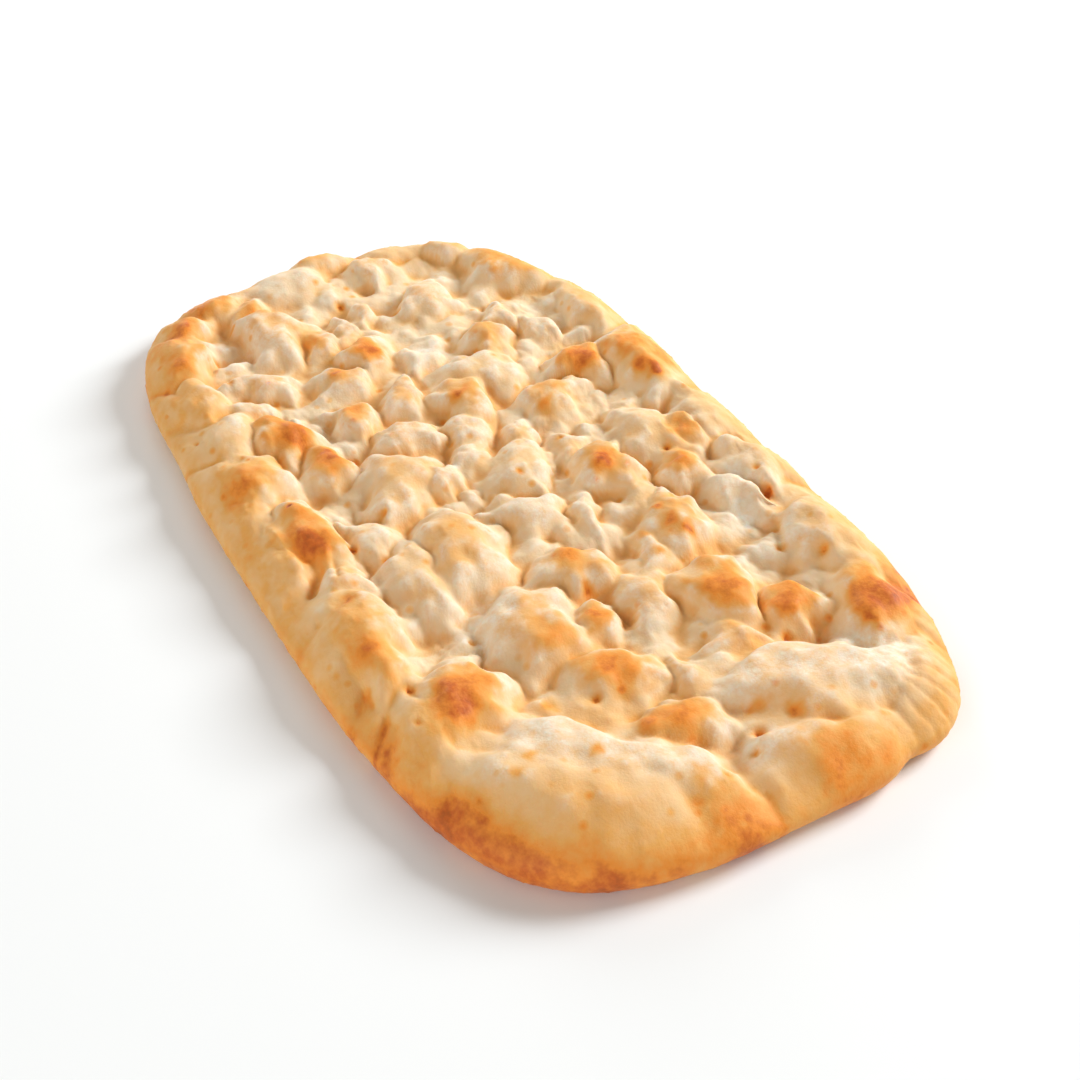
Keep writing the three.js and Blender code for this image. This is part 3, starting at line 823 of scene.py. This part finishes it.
def crust_material(colours):
    """Baked wheat crust, hand pressed and floured before the oven."""
    # Dough skin dried by the oven: matt and cream where it stayed low, golden where it puffed,
    # and toasted in ragged spots where it stood highest. Flour dusts it with a soft white, the
    # same white is painted on ridges and crests as a highlight, and creases take a painted shade.
    material = bpy.data.materials.new("baked wheat crust, pressed and floured")
    material.use_nodes = True
    tree = material.node_tree
    shader = tree.nodes["Principled BSDF"]
    place = add_node(tree, "TexCoord").outputs["Object"]
    # Browning, with the painted shade of the creases in it
    browning_and_shade = add_node(tree, "Attribute", {"attribute_name": "browning_and_shade"}).outputs["Fac"]
    # Flour, with the painted highlight of ridges and crests in it
    flour_and_highlight = add_node(tree, "Attribute", {"attribute_name": "flour_and_highlight"}).outputs["Fac"]

    # Uneven browning: a slow mottle and a fine speckle, stronger where the crust is browner
    mottle = add_node(
        tree, "TexNoise", values={"Scale": per_metre(MOTTLE), "Detail": 3.0, "Roughness": 0.6},
        links={"Vector": place},
    ).outputs["Fac"]
    speckle = add_node(
        tree, "TexNoise", values={"Scale": per_metre(SPECKLE), "Detail": 2.0, "Roughness": 0.6},
        links={"Vector": place},
    ).outputs["Fac"]
    both = add_node(
        tree, "Math", {"operation": "ADD"}, links={0: mottle, 1: speckle},
    ).outputs["Value"]
    uneven = add_node(
        tree, "Math", {"operation": "SUBTRACT"}, values={1: 1.0}, links={0: both},
    ).outputs["Value"]
    spread = add_node(
        tree, "MapRange",
        values={"From Min": 0.25, "From Max": 0.7, "To Min": 0.08, "To Max": 0.29},
        links={"Value": browning_and_shade},
    ).outputs["Result"]
    speckled = add_node(
        tree, "Math", {"operation": "MULTIPLY_ADD"}, links={0: uneven, 1: spread, 2: browning_and_shade},
    ).outputs["Value"]

    # Freckles in some of the cells, fainter on crust that is brown already
    cells = add_node(
        tree, "TexVoronoi", values={"Scale": per_metre(FRECKLE_CELL)}, links={"Vector": place},
    ).outputs
    dot = add_node(
        tree, "MapRange",
        values={"From Min": 0.04, "From Max": 0.28, "To Min": 1.1, "To Max": 0.0},
        links={"Value": cells["Distance"]},
    ).outputs["Result"]
    chosen = add_node(
        tree, "MapRange", values={"From Min": 0.45, "From Max": 0.9},
        links={"Value": cells["Color"]},
    ).outputs["Result"]
    freckle = add_node(
        tree, "Math", {"operation": "MULTIPLY"}, links={0: dot, 1: chosen},
    ).outputs["Value"]
    still_pale = add_node(
        tree, "MapRange",
        values={"From Min": 0.35, "From Max": 0.6, "To Min": 0.4, "To Max": 0.15},
        links={"Value": browning_and_shade},
    ).outputs["Result"]
    # The painted shade of the creases comes in here with the browning
    baked = add_node(
        tree, "Math", {"operation": "MULTIPLY_ADD"},
        links={0: freckle, 1: still_pale, 2: speckled},
    ).outputs["Value"]
    crust = add_node(
        tree, "ValToRGB", links={"Fac": baked},
        stops=(
            (0.05, colours.dough), (0.24, colours.straw), (0.44, colours.golden),
            (0.64, colours.toasted), (0.8, colours.dark), (1.0, colours.scorched),
        ),
    ).outputs["Color"]

    # Flour and the painted highlight of ridges and crests, in clumps
    powder = add_node(
        tree, "TexNoise", values={"Scale": per_metre(POWDER), "Detail": 3.0, "Roughness": 0.7},
        links={"Vector": place},
    ).outputs["Fac"]
    patchy = add_node(
        tree, "MapRange", values={"From Min": 0.2, "From Max": 0.75},
        links={"Value": powder},
    ).outputs["Result"]
    dusted_and_highlit = add_node(
        tree, "Math", {"operation": "MULTIPLY"}, links={0: flour_and_highlight, 1: patchy},
    ).outputs["Value"]
    surface = add_node(
        tree, "Mix", {"data_type": "RGBA"}, values={7: (*colours.flour_and_highlight, 1.0)},
        links={0: dusted_and_highlit, 6: crust},
    ).outputs[2]
    tree.links.new(surface, shader.inputs["Base Color"])

    # Pale skin is dry and dull, toasted skin a little smoother
    dry = add_node(
        tree, "MapRange",
        values={"From Min": 0.2, "From Max": 0.75, "To Min": 0.75, "To Max": 0.52},
        links={"Value": baked},
    ).outputs["Result"]
    tree.links.new(dry, shader.inputs["Roughness"])

    # Pores
    pore = add_node(
        tree, "TexNoise", values={"Scale": per_metre(PORE), "Detail": 3.0, "Roughness": 0.65},
        links={"Vector": place},
    ).outputs["Fac"]
    skin = add_node(
        tree, "Bump", values={"Strength": 0.45, "Distance": PORE_DEPTH * MM},
        links={"Height": pore},
    ).outputs["Normal"]
    tree.links.new(skin, shader.inputs["Normal"])

    # Dry starch hardly shines. Flour gives a faint sheen, and light runs a little way into the
    # crumb, red furthest.
    finish = {
        "IOR": 1.45, "Specular IOR Level": 0.2,
        "Sheen Weight": 0.08, "Sheen Roughness": 0.4, "Sheen Tint": (*colours.flour_and_highlight, 1.0),
        "Subsurface Weight": 0.35, "Subsurface Radius": (1.0, 0.45, 0.25),
        "Subsurface Scale": LIGHT_DEPTH * MM,
    }
    for socket, value in finish.items():
        shader.inputs[socket].default_value = value
    return material


def card_material(shade):
    """White card, rolled and uncoated."""
    # Rolled fibre with no coating: an even matt white that takes a soft shadow and no reflection
    material = bpy.data.materials.new("matt white card, rolled")
    material.use_nodes = True
    shader = material.node_tree.nodes["Principled BSDF"]
    shader.inputs["Base Color"].default_value = (*shade, 1.0)
    shader.inputs["Roughness"].default_value = 0.9
    return material


def in_millimetres(group):
    """The sizes of a property group by name, lengths turned to millimetres."""
    size = {}
    for name in group.__annotations__:
        value = getattr(group, name)
        size[name] = value if isinstance(value, int) else value / MM
    return size


class PINSA_OT_make_bread(bpy.types.Operator):
    """Make the baked crust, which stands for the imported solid"""

    bl_idname = "pinsa.make_bread"
    bl_label = "Make Bread"

    def execute(self, context):
        size = in_millimetres(context.scene.pinsa_sizes)
        points, triangles, shell_count, flat, browning_and_shade, flour_and_highlight = bake_skin(size)
        if not np.isfinite(points).all():
            raise RuntimeError("the sizes give no closed skin")
        mesh = bpy.data.meshes.new("pinsa_crust")
        mesh.from_pydata((points * MM).tolist(), [], triangles.tolist())
        mesh.shade_smooth()
        for name, values in (("browning_and_shade", browning_and_shade), ("flour_and_highlight", flour_and_highlight)):
            attribute = mesh.attributes.new(name, "FLOAT", "POINT")
            attribute.data.foreach_set("value", values.astype(np.float32))
        layout = bake_layout(flat, points, triangles, shell_count)
        mesh.uv_layers.new(name="OFBake").data.foreach_set("uv", layout.astype(np.float32).ravel())
        mesh.materials.append(crust_material(context.scene.pinsa_colours))
        bread = bpy.data.objects.new("pinsa_crust", mesh)
        context.scene.collection.objects.link(bread)
        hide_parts(NODE)
        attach(bread, BODY)
        return {"FINISHED"}


class PINSA_OT_set_stage(bpy.types.Operator):
    """Set the plain floor, the soft lamps and the camera"""

    bl_idname = "pinsa.set_stage"
    bl_label = "Set Stage"

    def execute(self, context):
        scene = context.scene
        stage = scene.pinsa_stage
        turn = math.radians(VIEW_TURN)
        tilt = math.radians(VIEW_TILT)
        right = Vector((math.cos(turn), math.sin(turn), 0))
        towards = Vector((math.sin(turn), -math.cos(turn), 0))
        up = Vector((0, 0, 1))

        mesh = bpy.data.meshes.new("floor")
        half = FLOOR_HALF
        corners = [(-half, -half, 0), (half, -half, 0), (half, half, 0), (-half, half, 0)]
        mesh.from_pydata(corners, [], [(0, 1, 2, 3)])
        mesh.materials.append(card_material(stage.floor))
        floor = bpy.data.objects.new("floor", mesh)
        scene.collection.objects.link(floor)

        powers = {"key": stage.key_power, "back": stage.back_power, "front": stage.front_power}
        for name, (across, nearer, higher, width) in LAMPS.items():
            position = right * across + towards * nearer + up * higher
            lamp = bpy.data.lights.new(name, "AREA")
            lamp.size = width
            lamp.energy = powers[name]
            lamp.color = stage.key_colour
            holder = bpy.data.objects.new(name, lamp)
            holder.location = position
            holder.rotation_euler = (-position).to_track_quat("-Z", "Y").to_euler()
            scene.collection.objects.link(holder)

        world = bpy.data.worlds.new("studio")
        world.use_nodes = True
        background = world.node_tree.nodes["Background"]
        background.inputs["Color"].default_value = (*stage.surround_colour, 1.0)
        background.inputs["Strength"].default_value = stage.surround
        scene.world = world
        scene.view_settings.view_transform = "Standard"

        lens = bpy.data.cameras.new("camera")
        lens.lens = VIEW_LENS
        lens.sensor_width = SENSOR
        lens.clip_start = CLIP_START * MM
        camera = bpy.data.objects.new("camera", lens)
        back = towards * math.cos(tilt) + up * math.sin(tilt)
        camera.location = (Vector(VIEW_AIM) + back * VIEW_DISTANCE) * MM
        camera.rotation_euler = (-back).to_track_quat("-Z", "Y").to_euler()
        scene.collection.objects.link(camera)
        scene.camera = camera
        return {"FINISHED"}


class PINSA_PT_sidebar(bpy.types.Panel):
    """Sizes, colours and stage of the pinsa base"""

    bl_idname = "PINSA_PT_sidebar"
    bl_label = "Pinsa Base"
    bl_space_type = "VIEW_3D"
    bl_region_type = "UI"
    bl_category = "Pinsa"

    def draw(self, context):
        scene = context.scene
        for group in (scene.pinsa_sizes, scene.pinsa_colours, scene.pinsa_stage):
            box = self.layout.box()
            for name in group.__annotations__:
                box.prop(group, name)
        self.layout.operator(PINSA_OT_make_bread.bl_idname)
        self.layout.operator(PINSA_OT_set_stage.bl_idname)


CLASSES = (
    PinsaSizes, PinsaColours, PinsaStage,
    PINSA_OT_make_bread, PINSA_OT_set_stage, PINSA_PT_sidebar,
)


def register():
    """Registers the classes and hangs the property groups on the scene."""
    for each in CLASSES:
        bpy.utils.register_class(each)
    bpy.types.Scene.pinsa_sizes = PointerProperty(type=PinsaSizes)
    bpy.types.Scene.pinsa_colours = PointerProperty(type=PinsaColours)
    bpy.types.Scene.pinsa_stage = PointerProperty(type=PinsaStage)


def unregister():
    """Takes the property groups off the scene and unregisters the classes."""
    del bpy.types.Scene.pinsa_stage
    del bpy.types.Scene.pinsa_colours
    del bpy.types.Scene.pinsa_sizes
    for each in reversed(CLASSES):
        bpy.utils.unregister_class(each)


def main():
    """Registers the add-on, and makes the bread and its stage."""
    register()
    bpy.ops.pinsa.make_bread()
    bpy.ops.pinsa.set_stage()


if __name__ == "__main__":
    main()
